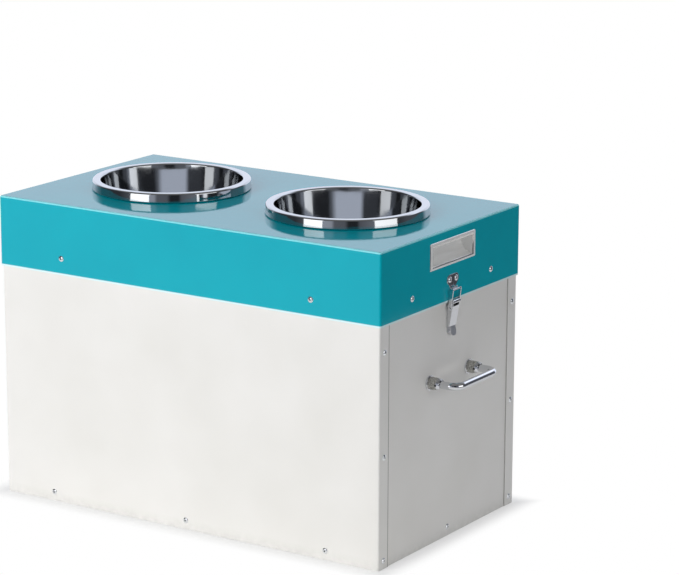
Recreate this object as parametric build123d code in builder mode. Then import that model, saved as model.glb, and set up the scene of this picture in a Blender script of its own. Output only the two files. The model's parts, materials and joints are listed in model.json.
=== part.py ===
from build123d import *
import os

os.makedirs("parts", exist_ok=True)

# Elevated dog feeder: a riveted sheet-metal storage box under a lift-off lid that
# carries two inset bowls. Millimetres. The origin is on the floor in the middle of
# the footprint, +X runs to the right end, -Y is the front and +Z is up.
# Right and left ends are alike: side is +1 for the right end and -1 for the left.

# Lid
lid_length = 600.0
lid_depth = 340.0
lid_height = 95.0
lid_sheet = 1.5
lid_edge_radius = 3.0

# Storage box
box_height_in_view = 315.0
lid_overlap = 13.0
lid_side_gap = 0.5
box_sheet = 1.2
box_bend_radius = 2.5
corner_strip_width = 22.0
hem_height = 10.0
hem_corner_gap = 0.4
pan_flange_height = 24.0
pan_corner_radius = 3.0

# Clearances
sheet_gap = 0.1
moving_gap = 0.3
running_gap = 0.06
hole_gap = 0.1

# Bowls
bowl_rim_radius = 107.5
bowl_rim_width = 12.0
bowl_rim_height = 13.0
bowl_foot_width = 3.0
bowl_depth = 61.0
bowl_taper = 7.0
bowl_sheet = 1.0
bowl_bend_radius = 2.0
bowl_foot_bend = 1.0
bowl_floor_radius = 16.0
bowl_hole_gap = 1.5
bowl_spacing = 282.0

# Rails and seal inside the lid, which rest on the rim of the box
rail_leg = 18.0
rail_foot = 14.0
rail_sheet = 1.2
rail_corner_gap = 3.0
seal_width = 8.0
seal_height = 2.7
lid_rivet_height = 22.0
lid_rivet_end_inset = 103.0
lid_rivet_side_inset = 73.5

# Blind rivets
rivet_head_radius = 4.0
rivet_head_height = 1.4
rivet_shank_radius = 2.0
rivet_tail_radius = 2.9
rivet_tail_height = 2.2
rivet_eye_radius = 1.2
rivet_eye_depth = 0.7
strip_rivet_inset = 11.5
strip_rivet_low = 11.0
strip_rivet_drop = 34.0
base_rivet_height = 12.0
base_rivet_end_inset = 80.0

# Carry handles that fold down, one on each end
handle_height = 217.0
handle_spacing = 96.0
bail_rod_radius = 5.0
bail_reach = 42.0
bail_corner_radius = 14.0
bail_pivot_out = 13.3
ferrule_radius = 8.2
ferrule_length = 17.8
ferrule_nose_radius = 6.8
ferrule_nose_length = 4.0
ferrule_flange_radius = 9.8
ferrule_flange_height = 2.0
ferrule_edge_radius = 1.0
ferrule_flange_edge = 0.6
bail_pin_radius = 1.5
handle_screw_radius = 2.4
handle_screw_reach = 6.0
handle_screw_head_radius = 4.5
handle_screw_head_height = 3.0
washer_radius = 6.0
washer_sheet = 1.0

# Draw latches, one on each end; heights are taken from the lower edge of the lid
latch_sheet = 1.2
latch_width = 16.6
latch_pivot_out = 8.4
latch_pivot_height = 0.0
latch_pin_radius = 1.5
latch_knuckle_radius = 3.0
latch_base_width = 16.0
latch_base_top = -5.0
latch_base_bottom = -42.0
latch_base_corner = 2.5
latch_base_rivet_heights = (-18.0, -33.0)
latch_rivet_radius = 3.0
ear_foot_height = 4.0
lever_top_out = 9.9
lever_root_out = 4.4
lever_root_height = -33.0
lever_window_height = -6.0
lever_foot_gap = 0.4
lever_tab_width = 12.4
lever_tab_out = 7.4
lever_tab_bottom = -45.5
lever_tab_bend = 3.0
link_pin_out = 5.6
link_pin_height = -9.0
link_pin_radius = 1.2
link_pin_head_radius = 2.1
link_pin_head_height = 0.8
link_sheet = 1.6
link_eye_radius = 2.3
link_tip_radius = 1.7
link_bar_radius = 1.1
link_bar_height = 16.0
link_side_gap = 0.5
keeper_sheet = 1.0
keeper_lobe_radius = 6.4
keeper_neck_height = 17.0
keeper_neck_width = 10.0
keeper_throat = 2.4
keeper_lip_height = 3.0
keeper_rivet_spacing = 15.4
keeper_rivet_height = 28.6
keeper_link_gap = 0.4

# Flush pulls, one in each end of the lid
pull_width = 110.0
pull_height = 35.2
pull_frame = 1.2
pull_frame_corner = 2.0
pull_frame_edge = 0.5
pull_centre_below_top = 29.5
pull_opening_width = 96.4
pull_cup_radius = 16.0
pull_cup_axis = 3.4
pull_lip_overhang = 2.7
pull_roof_radius = 11.0
pull_sheet = 1.0
pull_cutout_gap = 0.4
pull_stud_radius = 1.5
pull_stud_length = 6.5
pull_stud_inset = 2.7
pull_nut_radius = 2.75
pull_nut_height = 2.4

# Places that follow from the sizes above
lid_bottom = box_height_in_view
lid_top = lid_bottom + lid_height
lid_end = lid_length / 2
lid_inner_length = lid_length - 2 * lid_sheet
lid_inner_depth = lid_depth - 2 * lid_sheet
box_length = lid_inner_length - 2 * lid_side_gap
box_depth = lid_inner_depth - 2 * lid_side_gap
rim_top = lid_bottom + lid_overlap
end_face = box_length / 2 - box_sheet - sheet_gap
pan_length = 2 * (end_face - box_sheet - sheet_gap)
pan_depth = box_depth - 2 * (box_sheet + sheet_gap)
rail_bottom = rim_top + moving_gap + seal_height
lid_rivet_z = lid_bottom + lid_rivet_height
lid_rivet_x = lid_end - lid_rivet_end_inset
lid_rivet_y = lid_depth / 2 - lid_rivet_side_inset
strip_rivet_y = box_depth / 2 - strip_rivet_inset
strip_rivet_high = lid_bottom - strip_rivet_drop
strip_rivet_z = ((strip_rivet_low + strip_rivet_high) / 2, strip_rivet_high)
base_rivet_x = box_length / 2 - base_rivet_end_inset
rivet_hole_radius = rivet_shank_radius + hole_gap
box_stack = 2 * box_sheet + sheet_gap
corner_stack = box_stack + box_sheet + sheet_gap
lid_stack = lid_sheet + rail_sheet + sheet_gap
latch_pivot = (latch_pivot_out, latch_pivot_height)
link_pin = (link_pin_out, link_pin_height)
lid_out = lid_end - end_face
keeper_lip_out = lid_out + 2 * keeper_sheet + keeper_throat
link_bar = (keeper_lip_out + keeper_link_gap + link_bar_radius, link_bar_height)
link_inner = latch_width / 2 + link_side_gap
pull_z = lid_top - pull_centre_below_top
bowl_hole_radius = bowl_rim_radius - bowl_rim_width + bowl_sheet + bowl_hole_gap
ends = {"right": 1, "left": -1}


def save(piece, name):
    piece.part.label = name
    export_step(piece.part, f"parts/{name}.step")


def end_plane(side, y, z, out=end_face):
    # Faces outward from an end wall, with its own y axis upward.
    return Plane(origin=(side * out, y, z), x_dir=(0, side, 0), z_dir=(side, 0, 0))


def wall_plane(side, x, z, out):
    # Faces outward from the front (-1) or back (+1) wall, with its own y axis upward.
    return Plane(origin=(x, side * out, z), x_dir=(-side, 0, 0), z_dir=(0, side, 0))


def section_plane(side, y, z, out=end_face):
    # Cuts an end wall upright: its own x axis runs outward and its y axis upward.
    return Plane(origin=(side * out, y, z), x_dir=(side, 0, 0), z_dir=(0, -side, 0))


def drill(planes, radius, depth):
    # Cuts a round hole inward from each plane, in the part being built.
    for plane in planes:
        with BuildSketch(plane.offset(depth)) as hole:
            Circle(radius)
        extrude(hole.sketch, amount=-2 * depth, mode=Mode.SUBTRACT)


# Rivets -----------------------------------------------------------------------------


def blind_rivet(grip, head_radius=rivet_head_radius):
    # A domed head with the eye left by the pulled mandrel, a shank and a set tail.
    eye_top = rivet_head_height
    tail = -grip - rivet_tail_height
    with BuildPart() as rivet:
        with BuildSketch(Plane.XZ):
            with BuildLine():
                Polyline(
                    (head_radius, 0),
                    (rivet_shank_radius, 0),
                    (rivet_shank_radius, -grip),
                    (rivet_tail_radius, -grip),
                    (rivet_shank_radius, tail),
                    (0, tail),
                    (0, eye_top - rivet_eye_depth),
                    (rivet_eye_radius, eye_top - rivet_eye_depth),
                    (rivet_eye_radius, eye_top),
                )
                RadiusArc((rivet_eye_radius, eye_top), (head_radius, 0), -head_radius)
            make_face()
        revolve(axis=Axis.Z)
    return rivet.part


def rivet_set(*groups):
    # Each group is a list of planes and the form of the rivet that stands on them.
    with BuildPart() as rivets:
        for planes, form in groups:
            with Locations(*planes):
                add(form)
    return rivets


box_rivet = blind_rivet(box_stack)
corner_rivet = blind_rivet(corner_stack)
lid_rivet = blind_rivet(lid_stack)
keeper_rivet = blind_rivet(keeper_sheet + lid_stack)
latch_rivet = blind_rivet(latch_sheet + box_sheet, latch_rivet_radius)


def wall_rivet_planes(side):
    xs = (-base_rivet_x, 0, base_rivet_x)
    return [wall_plane(side, x, base_rivet_height, box_depth / 2) for x in xs]


def strip_rivet_planes(side):
    # Upper rivets of the corner strips, through the strip and the end panel.
    rows = [(y, z) for y in (-strip_rivet_y, strip_rivet_y) for z in strip_rivet_z]
    return [end_plane(side, y, z, box_length / 2) for y, z in rows]


def corner_rivet_planes(side):
    # Lowest rivets of the corner strips, which also catch the flange of the pan.
    ys = (-strip_rivet_y, strip_rivet_y)
    return [end_plane(side, y, strip_rivet_low, box_length / 2) for y in ys]


def latch_rivet_planes(side):
    zs = [lid_bottom + height for height in latch_base_rivet_heights]
    return [end_plane(side, 0, z, end_face + latch_sheet) for z in zs]


def lid_wall_rivet_planes(side):
    xs = (-lid_rivet_x, lid_rivet_x)
    return [wall_plane(side, x, lid_rivet_z, lid_depth / 2) for x in xs]


def lid_end_rivet_planes(side):
    ys = (-lid_rivet_y, lid_rivet_y)
    return [end_plane(side, y, lid_rivet_z, lid_end) for y in ys]


def keeper_rivet_planes(side):
    ys = (-keeper_rivet_spacing / 2, keeper_rivet_spacing / 2)
    z = lid_bottom + keeper_rivet_height
    return [end_plane(side, y, z, lid_end + keeper_sheet) for y in ys]


def handle_planes(side, out=end_face):
    ys = (-handle_spacing / 2, handle_spacing / 2)
    return [end_plane(side, y, handle_height, out) for y in ys]


# Storage box ------------------------------------------------------------------------


def wrap_panel(side):
    # Front or back wall, bent round both corners into a strip on each end.
    with BuildPart() as panel:
        with BuildSketch():
            RectangleRounded(box_length, box_depth, box_bend_radius)
            RectangleRounded(
                box_length - 2 * box_sheet,
                box_depth - 2 * box_sheet,
                box_bend_radius - box_sheet,
                mode=Mode.SUBTRACT,
            )
            with Locations((0, side * (box_depth - corner_strip_width) / 2)):
                Rectangle(box_length, corner_strip_width, mode=Mode.INTERSECT)
        extrude(amount=rim_top)
        hem_length = 2 * (end_face - 2 * box_sheet - hem_corner_gap)
        with BuildSketch(Plane.XY.offset(rim_top - hem_height)):
            with Locations((0, side * (box_depth - 3 * box_sheet) / 2)):
                Rectangle(hem_length, box_sheet)
        extrude(amount=hem_height)
        drill(wall_rivet_planes(side), rivet_hole_radius, box_stack)
        for end in ends.values():
            drill(strip_rivet_planes(end), rivet_hole_radius, box_stack)
            drill(corner_rivet_planes(end), rivet_hole_radius, box_stack)
    return panel


def end_panel(side):
    # End wall behind the corner strips, with a folded hem at its rim.
    wall_depth = box_depth - 2 * box_bend_radius
    hem_depth = box_depth - 4 * box_sheet - 2 * hem_corner_gap
    with BuildPart() as panel:
        with BuildSketch():
            with Locations((side * (end_face - box_sheet / 2), 0)):
                Rectangle(box_sheet, wall_depth)
        extrude(amount=rim_top)
        with BuildSketch(Plane.XY.offset(rim_top - hem_height)):
            with Locations((side * (end_face - 1.5 * box_sheet), 0)):
                Rectangle(box_sheet, hem_depth)
        extrude(amount=hem_height)
        drill(strip_rivet_planes(side), rivet_hole_radius, 2 * box_stack)
        drill(corner_rivet_planes(side), rivet_hole_radius, 2 * box_stack)
        drill(latch_rivet_planes(side), rivet_hole_radius, 2 * box_stack)
        drill([end_plane(side, 0, base_rivet_height)], rivet_hole_radius, box_stack)
        drill(handle_planes(side), handle_screw_radius + hole_gap, box_stack)
    return panel


save(wrap_panel(-1), "front_panel")
save(wrap_panel(1), "back_panel")

with BuildPart() as bottom_pan:
    with BuildSketch():
        RectangleRounded(pan_length, pan_depth, pan_corner_radius)
    extrude(amount=pan_flange_height)
    fillet(bottom_pan.faces().sort_by(Axis.Z)[0].edges(), radius=box_bend_radius)
    offset(amount=-box_sheet, openings=bottom_pan.faces().sort_by(Axis.Z)[-1])
    for side in ends.values():
        drill(wall_rivet_planes(side), rivet_hole_radius, 2 * box_stack)
        drill(corner_rivet_planes(side), rivet_hole_radius, 2 * box_stack)
        drill([end_plane(side, 0, base_rivet_height)], rivet_hole_radius, 2 * box_stack)
save(bottom_pan, "bottom_pan")

save(rivet_set((wall_rivet_planes(-1), box_rivet)), "front_base_rivets")
save(rivet_set((wall_rivet_planes(1), box_rivet)), "back_base_rivets")

for end_name, side in ends.items():
    save(end_panel(side), f"{end_name}_end_panel")
    two_sheets = strip_rivet_planes(side) + [end_plane(side, 0, base_rivet_height)]
    end_rivets = rivet_set((two_sheets, box_rivet), (corner_rivet_planes(side), corner_rivet))
    save(end_rivets, f"{end_name}_end_rivets")


# Carry handles ----------------------------------------------------------------------


def ferrule(side, y):
    # Turned post with a tapered nose, slotted so that the bail folds down but not up.
    slot_floor = bail_pivot_out - bail_rod_radius - moving_gap
    slot_half = bail_rod_radius + moving_gap
    middle = section_plane(side, y, handle_height)
    pin_plane = Plane(origin=middle.from_local_coords((bail_pivot_out, 0)), z_dir=(0, 1, 0))
    with BuildPart() as post:
        with BuildSketch(middle):
            with BuildLine():
                FilletPolyline(
                    (0, ferrule_flange_radius),
                    (ferrule_flange_height, ferrule_flange_radius),
                    (ferrule_flange_height, ferrule_radius),
                    (ferrule_length - ferrule_nose_length, ferrule_radius),
                    (ferrule_length, ferrule_nose_radius),
                    (ferrule_length, 0),
                    radius=[ferrule_flange_edge, 0, ferrule_edge_radius, ferrule_edge_radius],
                )
                Polyline((ferrule_length, 0), (0, 0), (0, ferrule_flange_radius))
            make_face()
        revolve(axis=Axis(middle.origin, (side, 0, 0)))
        with BuildSketch(middle):
            with Locations((slot_floor, slot_half)):
                Rectangle(2 * ferrule_length, 3 * ferrule_radius, align=(Align.MIN, Align.MAX))
        extrude(amount=slot_half, both=True, mode=Mode.SUBTRACT)
        with BuildSketch(pin_plane):
            Circle(bail_pin_radius + running_gap / 2)
        extrude(amount=ferrule_radius, both=True, mode=Mode.SUBTRACT)
        drill([end_plane(side, y, handle_height)], handle_screw_radius + hole_gap, handle_screw_reach + 1)
    return post


def bail(side):
    # Bent round bar with a rounded, cross-drilled eye at each end.
    half = handle_spacing / 2
    plan = Plane(origin=(side * end_face, 0, handle_height), x_dir=(side, 0, 0), z_dir=(0, 0, 1))
    pin_plane = Plane(origin=plan.from_local_coords((bail_pivot_out, 0)), z_dir=(0, 1, 0))
    with BuildPart() as bar:
        with BuildLine(plan) as path:
            FilletPolyline(
                (bail_pivot_out, -half),
                (bail_reach, -half),
                (bail_reach, half),
                (bail_pivot_out, half),
                radius=bail_corner_radius,
            )
        run = path.wires()[0]
        with BuildSketch(Plane(origin=run @ 0, z_dir=run % 0)):
            Circle(bail_rod_radius)
        sweep(path=run)
        with Locations(run @ 0, run @ 1):
            Sphere(bail_rod_radius)
        with BuildSketch(pin_plane):
            Circle(bail_pin_radius + running_gap)
        extrude(amount=half + 2 * bail_rod_radius, both=True, mode=Mode.SUBTRACT)
    return bar


def bail_pins(side):
    with BuildPart() as pins:
        for y in (-handle_spacing / 2, handle_spacing / 2):
            place = (side * (end_face + bail_pivot_out), y, handle_height)
            with BuildSketch(Plane(origin=place, z_dir=(0, 1, 0))):
                Circle(bail_pin_radius)
            extrude(amount=ferrule_radius, both=True)
    return pins


def handle_screws(side):
    # Pan-head screws from inside the box into the ferrules.
    head_seat = end_face - box_sheet - washer_sheet
    reach = washer_sheet + box_sheet + handle_screw_reach
    with BuildPart() as screws:
        for y in (-handle_spacing / 2, handle_spacing / 2):
            middle = section_plane(side, y, handle_height, head_seat)
            with BuildSketch(middle):
                with BuildLine():
                    FilletPolyline(
                        (-handle_screw_head_height, 0),
                        (-handle_screw_head_height, handle_screw_head_radius),
                        (0, handle_screw_head_radius),
                        (0, handle_screw_radius),
                        (reach, handle_screw_radius),
                        (reach, 0),
                        radius=[handle_screw_head_height / 2, 0, 0, 0],
                    )
                    Line((reach, 0), (-handle_screw_head_height, 0))
                make_face()
            revolve(axis=Axis(middle.origin, (side, 0, 0)))
    return screws


def handle_washers(side):
    with BuildPart() as washers:
        for plane in handle_planes(side, end_face - box_sheet):
            with BuildSketch(plane):
                Circle(washer_radius)
                Circle(handle_screw_radius + hole_gap, mode=Mode.SUBTRACT)
            extrude(amount=-washer_sheet)
    return washers


for end_name, side in ends.items():
    save(bail(side), f"{end_name}_handle_bail")
    save(ferrule(side, -handle_spacing / 2), f"{end_name}_handle_front_ferrule")
    save(ferrule(side, handle_spacing / 2), f"{end_name}_handle_rear_ferrule")
    save(bail_pins(side), f"{end_name}_handle_pivot_pins")
    save(handle_screws(side), f"{end_name}_handle_screws")
    save(handle_washers(side), f"{end_name}_handle_washers")


# Draw latches -----------------------------------------------------------------------


def latch_section(side, y=0):
    return section_plane(side, y, lid_bottom)


def cross_bar(side, centre, radius, half, mode=Mode.ADD):
    # Round bar or bore along the width of the latch.
    with BuildSketch(latch_section(side)) as disc:
        with Locations(centre):
            Circle(radius)
    extrude(disc.sketch, amount=half, both=True, mode=mode)


def latch_base(side):
    # Back plate with two ears that hold the pivot pin of the lever.
    height = latch_base_top - latch_base_bottom
    middle = lid_bottom + (latch_base_top + latch_base_bottom) / 2
    ear_inner = latch_width / 2 - 2 * latch_sheet - moving_gap
    with BuildPart() as base:
        with BuildSketch(end_plane(side, 0, middle)):
            RectangleRounded(latch_base_width, height, latch_base_corner)
        extrude(amount=latch_sheet)
        for y in (-ear_inner - latch_sheet, ear_inner):
            with BuildSketch(latch_section(side, y if side < 0 else y + latch_sheet)):
                with Locations(latch_pivot):
                    Circle(latch_knuckle_radius)
                with Locations((0, latch_base_top)):
                    Rectangle(latch_sheet, ear_foot_height, align=(Align.MIN, Align.MAX))
                make_hull()
            extrude(amount=latch_sheet)
        cross_bar(side, latch_pivot, latch_pin_radius + hole_gap / 2, latch_width, Mode.SUBTRACT)
        drill(latch_rivet_planes(side), rivet_hole_radius, 2 * latch_sheet)
    return base


def lever(side):
    # Tapered channel with a turned-out finger tab; its cheeks carry both pins.
    cheek_inner = latch_width / 2 - latch_sheet
    face_slope = (lever_top_out - lever_root_out) / (latch_pivot_height - lever_root_height)
    window_out = lever_root_out + face_slope * (lever_window_height - lever_root_height)
    foot_out = latch_sheet + lever_foot_gap
    half_sheet = latch_sheet / 2
    tab_radius = lever_tab_width / 2 - 0.2
    with BuildPart() as arm:
        with BuildSketch(latch_section(side)):
            with BuildLine():
                FilletPolyline(
                    (window_out - half_sheet, lever_window_height),
                    (lever_root_out - half_sheet, lever_root_height),
                    (lever_tab_out - half_sheet, lever_tab_bottom),
                    radius=lever_tab_bend,
                )
            trace(line_width=latch_sheet)
        extrude(amount=latch_width / 2, both=True)
        with BuildSketch(end_plane(side, 0, lid_bottom)) as outline:
            with Locations((0, lever_root_height)):
                Rectangle(latch_width, -lever_root_height, align=(Align.CENTER, Align.MIN))
            with Locations((0, lever_tab_bottom)):
                Rectangle(lever_tab_width, -lever_tab_bottom, align=(Align.CENTER, Align.MIN))
            fillet(outline.vertices().group_by(Axis.Y)[0], radius=tab_radius)
        extrude(amount=2 * lever_top_out, mode=Mode.INTERSECT)
        for y in (-latch_width / 2, cheek_inner):
            with BuildSketch(latch_section(side, y if side < 0 else y + latch_sheet)):
                with Locations(latch_pivot):
                    Circle(latch_knuckle_radius)
                Polygon(
                    (foot_out, lever_root_height),
                    (lever_root_out, lever_root_height),
                    (lever_top_out, latch_pivot_height),
                    (latch_pivot_out - latch_knuckle_radius, latch_pivot_height),
                    (foot_out, lever_window_height),
                    align=None,
                )
            extrude(amount=latch_sheet)
        cross_bar(side, latch_pivot, latch_pin_radius + running_gap, latch_width, Mode.SUBTRACT)
        cross_bar(side, link_pin, link_pin_radius + hole_gap / 2, latch_width, Mode.SUBTRACT)
    return arm


def latch_pivot_pin(side):
    with BuildPart() as pin:
        cross_bar(side, latch_pivot, latch_pin_radius, latch_width / 2 + hole_gap)
    return pin


def latch_sleeve(side):
    # Spacer tube on the pivot pin, between the ears.
    half = latch_width / 2 - 2 * latch_sheet - moving_gap - hole_gap
    with BuildPart() as sleeve:
        cross_bar(side, latch_pivot, latch_knuckle_radius - moving_gap, half)
        cross_bar(side, latch_pivot, latch_pin_radius + hole_gap / 2, half, Mode.SUBTRACT)
    return sleeve


def link(side):
    # Two straps joined by the round bar that drops into the keeper.
    with BuildPart() as loop:
        for y in (-link_inner - link_sheet, link_inner):
            with BuildSketch(latch_section(side, y if side < 0 else y + link_sheet)):
                with Locations(link_pin):
                    Circle(link_eye_radius)
                with Locations(link_bar):
                    Circle(link_tip_radius)
                make_hull()
            extrude(amount=link_sheet)
        cross_bar(side, link_bar, link_bar_radius, link_inner + link_sheet / 2)
        eye = link_pin_radius + running_gap
        cross_bar(side, link_pin, eye, 2 * link_inner, Mode.SUBTRACT)
    return loop


def link_pivot_pin(side):
    # Pin through the cheeks of the lever, with a head outside each strap.
    head_seat = link_inner + link_sheet + moving_gap
    with BuildPart() as pin:
        cross_bar(side, link_pin, link_pin_radius, head_seat)
        for end in (-1, 1):
            with BuildSketch(latch_section(side, end * head_seat)):
                with Locations(link_pin):
                    Circle(link_pin_head_radius)
            extrude(amount=-end * side * link_pin_head_height)
    return pin


def keeper(side):
    # Two-lobed plate on the lid whose neck turns out and up into a hook.
    mid_throat = (keeper_throat + keeper_sheet) / 2
    plate_out = lid_out + keeper_sheet / 2
    hook_height = link_bar_height - link_bar_radius + mid_throat - keeper_sheet / 2
    plate_top = keeper_rivet_height + keeper_lobe_radius
    lobe = keeper_rivet_spacing / 2
    with BuildPart() as plate:
        with BuildSketch(latch_section(side)):
            with BuildLine():
                back = Line((plate_out, plate_top), (plate_out, hook_height))
                bend = JernArc(back @ 1, back % 1, mid_throat, 180)
                Line(bend @ 1, bend @ 1 + (0, keeper_lip_height))
            trace(line_width=keeper_sheet)
        extrude(amount=lobe + keeper_lobe_radius, both=True)
        with BuildSketch(end_plane(side, 0, lid_bottom, lid_end)):
            with Locations((-lobe, keeper_rivet_height), (lobe, keeper_rivet_height)):
                Circle(keeper_lobe_radius)
            with Locations((0, keeper_neck_height)):
                Rectangle(keeper_neck_width, keeper_sheet, align=(Align.CENTER, Align.MIN))
            make_hull()
            with Locations((0, keeper_rivet_height)):
                Rectangle(keeper_neck_width, keeper_rivet_height, align=(Align.CENTER, Align.MAX))
        extrude(amount=2 * mid_throat + 2 * keeper_sheet, mode=Mode.INTERSECT)
        drill(keeper_rivet_planes(side), rivet_hole_radius, 2 * keeper_sheet)
    return plate


for end_name, side in ends.items():
    save(latch_base(side), f"{end_name}_latch_base")
    save(rivet_set((latch_rivet_planes(side), latch_rivet)), f"{end_name}_latch_base_rivets")
    save(latch_pivot_pin(side), f"{end_name}_latch_pivot_pin")
    save(latch_sleeve(side), f"{end_name}_latch_sleeve")
    save(lever(side), f"{end_name}_latch_lever")
    save(link_pivot_pin(side), f"{end_name}_latch_link_pin")
    save(link(side), f"{end_name}_latch_link")
    save(keeper(side), f"{end_name}_latch_keeper")
    save(rivet_set((keeper_rivet_planes(side), keeper_rivet)), f"{end_name}_keeper_rivets")


# Lid --------------------------------------------------------------------------------


def pull_section(side):
    return section_plane(side, 0, pull_z, lid_end)


def pull_cup(grow):
    # Outline of the scoop, seen along the width of the pull, grown by the sheet.
    radius = pull_cup_radius + grow
    roof = pull_cup_axis + pull_roof_radius + grow
    with BuildLine() as outline:
        scoop = JernArc((0, pull_cup_axis - radius), (-1, 0), radius, -90)
        corner = JernArc(scoop @ 1, scoop % 1, pull_roof_radius + grow, -90)
        Polyline(corner @ 1, (0, roof), scoop @ 0)
    make_face(outline.line.edges())


def flush_pull(side):
    # Framed scoop; its roof runs up behind the frame and makes the finger hook.
    opening_bottom = pull_cup_axis - pull_cup_radius
    opening_height = pull_cup_axis + pull_roof_radius - pull_lip_overhang - opening_bottom
    stud_y = pull_width / 2 - pull_stud_inset
    front = end_plane(side, 0, pull_z, lid_end)
    with BuildPart() as pull:
        with BuildSketch(front):
            RectangleRounded(pull_width, pull_height, pull_frame_corner)
        extrude(amount=pull_frame)
        with BuildSketch(pull_section(side)):
            pull_cup(pull_sheet)
        extrude(amount=pull_opening_width / 2 + pull_sheet, both=True)
        with BuildSketch(pull_section(side)):
            pull_cup(0)
        extrude(amount=pull_opening_width / 2, both=True, mode=Mode.SUBTRACT)
        with BuildSketch(front):
            with Locations((0, opening_bottom)):
                Rectangle(pull_opening_width, opening_height, align=(Align.CENTER, Align.MIN))
        extrude(amount=pull_frame, mode=Mode.SUBTRACT)
        with BuildSketch(front):
            with Locations((-stud_y, 0), (stud_y, 0)):
                Circle(pull_stud_radius)
        extrude(amount=-pull_stud_length)
        rim = pull.faces().sort_by(Axis.X)[-1 if side > 0 else 0].edges()
        fillet(rim, radius=pull_frame_edge)
    return pull


def pull_nuts(side):
    stud_y = pull_width / 2 - pull_stud_inset
    with BuildPart() as nuts:
        with BuildSketch(end_plane(side, 0, pull_z, lid_end - lid_sheet)):
            with Locations((-stud_y, 0), (stud_y, 0)):
                RegularPolygon(pull_nut_radius, 6, major_radius=False, rotation=30)
                Circle(pull_stud_radius + hole_gap, mode=Mode.SUBTRACT)
        extrude(amount=-pull_nut_height)
    return nuts


with BuildPart() as lid_shell:
    with BuildSketch(Plane.XY.offset(lid_bottom)):
        RectangleRounded(lid_length, lid_depth, lid_edge_radius)
    extrude(amount=lid_height)
    fillet(lid_shell.faces().sort_by(Axis.Z)[-1].edges(), radius=lid_edge_radius - lid_sheet / 2)
    offset(amount=-lid_sheet, openings=lid_shell.faces().sort_by(Axis.Z)[0])
    with BuildSketch(Plane.XY.offset(lid_top)):
        with Locations((-bowl_spacing / 2, 0), (bowl_spacing / 2, 0)):
            Circle(bowl_hole_radius)
    extrude(amount=-2 * lid_sheet, mode=Mode.SUBTRACT)
    for side in (-1, 1):
        cup_top = pull_cup_axis + pull_roof_radius + pull_sheet + pull_cutout_gap
        cup_bottom = pull_cup_axis - pull_cup_radius - pull_sheet - pull_cutout_gap
        cup_width = pull_opening_width + 2 * (pull_sheet + pull_cutout_gap)
        stud_y = pull_width / 2 - pull_stud_inset
        with BuildSketch(end_plane(side, 0, pull_z, lid_end)):
            with Locations((0, cup_bottom)):
                Rectangle(cup_width, cup_top - cup_bottom, align=(Align.CENTER, Align.MIN))
            with Locations((-stud_y, 0), (stud_y, 0)):
                Circle(pull_stud_radius + hole_gap)
        extrude(amount=-2 * lid_sheet, mode=Mode.SUBTRACT)
        drill(lid_wall_rivet_planes(side), rivet_hole_radius, lid_stack)
        drill(lid_end_rivet_planes(side), rivet_hole_radius, lid_stack)
        drill(keeper_rivet_planes(side), rivet_hole_radius, lid_stack)
save(lid_shell, "lid_shell")


def stop_rail(profile_plane, length, rivet_planes):
    # Angle riveted inside the lid; its lower leg stands on the rim of the box.
    with BuildPart() as rail:
        with BuildSketch(profile_plane):
            with Locations((-sheet_gap, 0)):
                Rectangle(rail_sheet, rail_leg, align=(Align.MAX, Align.MIN))
                Rectangle(rail_foot, rail_sheet, align=(Align.MAX, Align.MIN))
        extrude(amount=length / 2, both=True)
        drill(rivet_planes, rivet_hole_radius, 2 * lid_stack)
    return rail


def wall_rail(side):
    plane = Plane(
        origin=(0, side * lid_inner_depth / 2, rail_bottom),
        x_dir=(0, side, 0),
        z_dir=(side, 0, 0),
    )
    length = lid_inner_length - 2 * (rail_foot + 2 * sheet_gap)
    return stop_rail(plane, length, lid_wall_rivet_planes(side))


def end_rail(side):
    plane = section_plane(side, 0, rail_bottom, lid_inner_length / 2)
    length = lid_inner_depth - 2 * rail_corner_gap
    return stop_rail(plane, length, lid_end_rivet_planes(side) + keeper_rivet_planes(side))


save(wall_rail(-1), "lid_front_rail")
save(wall_rail(1), "lid_back_rail")

with BuildPart() as lid_seal:
    seal_length = lid_inner_length - 2 * moving_gap
    seal_depth = lid_inner_depth - 2 * moving_gap
    with BuildSketch(Plane.XY.offset(rail_bottom)):
        RectangleRounded(seal_length, seal_depth, rail_corner_gap)
        Rectangle(seal_length - 2 * seal_width, seal_depth - 2 * seal_width, mode=Mode.SUBTRACT)
    extrude(amount=-seal_height)
save(lid_seal, "lid_seal")

rail_rivet_planes = []
for end_name, side in ends.items():
    rail_rivet_planes += lid_wall_rivet_planes(side) + lid_end_rivet_planes(side)
    save(end_rail(side), f"lid_{end_name}_rail")
    save(flush_pull(side), f"{end_name}_flush_pull")
    save(pull_nuts(side), f"{end_name}_pull_nuts")
save(rivet_set((rail_rivet_planes, lid_rivet)), "lid_rail_rivets")


# Bowls ------------------------------------------------------------------------------


def bowl(x):
    # Spun steel: a skirt on a turned-in foot, a flat rim and a deep tapered well.
    skirt = bowl_rim_radius - bowl_sheet
    throat = bowl_rim_radius - bowl_rim_width + bowl_sheet
    top = bowl_rim_height - bowl_sheet
    floor = top - bowl_depth
    plane = Plane(origin=(x, 0, lid_top + moving_gap), x_dir=(1, 0, 0), z_dir=(0, -1, 0))
    with BuildPart() as vessel:
        with BuildSketch(plane):
            with BuildLine():
                FilletPolyline(
                    (skirt - bowl_foot_width, bowl_sheet),
                    (skirt, bowl_sheet),
                    (skirt, top),
                    (throat, top),
                    (throat - bowl_taper, floor),
                    (0, floor),
                    radius=[bowl_foot_bend, bowl_bend_radius, bowl_bend_radius, bowl_floor_radius],
                )
                offset(amount=bowl_sheet, side=Side.LEFT)
            make_face()
        revolve(axis=Axis((x, 0, 0), (0, 0, 1)))
    return vessel


save(bowl(-bowl_spacing / 2), "water_bowl")
save(bowl(bowl_spacing / 2), "food_bowl")
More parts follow.
